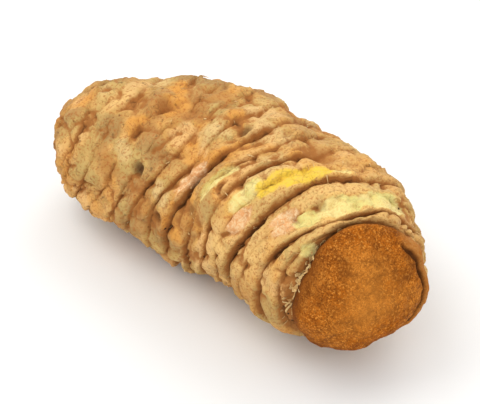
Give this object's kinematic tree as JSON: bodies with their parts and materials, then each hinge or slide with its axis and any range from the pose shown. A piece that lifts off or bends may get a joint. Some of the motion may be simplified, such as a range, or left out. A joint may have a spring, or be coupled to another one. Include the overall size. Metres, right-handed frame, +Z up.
{
  "type": "turmeric root",
  "caption": "Fresh turmeric root: a blunt, ringed, gently bent rhizome with a smooth bud at its crown, lying on its side.",
  "frame": {"origin": "on the surface the root lies on, under the middle of its bounding box", "axes": "+X along the root from its older tail to its crown with the bud, +Z up, -Y the front, towards which the crown bends"},
  "size_m": [0.0644, 0.038, 0.027],
  "materials": {
    "rhizome_skin": "dry, rough ochre skin with brown crevices between the rings, pale yellow where it is rubbed, and an orange-brown bud"
  },
  "bodies": {
    "root": {"turmeric_rhizome": "rhizome_skin"}
  },
  "joints": []
}
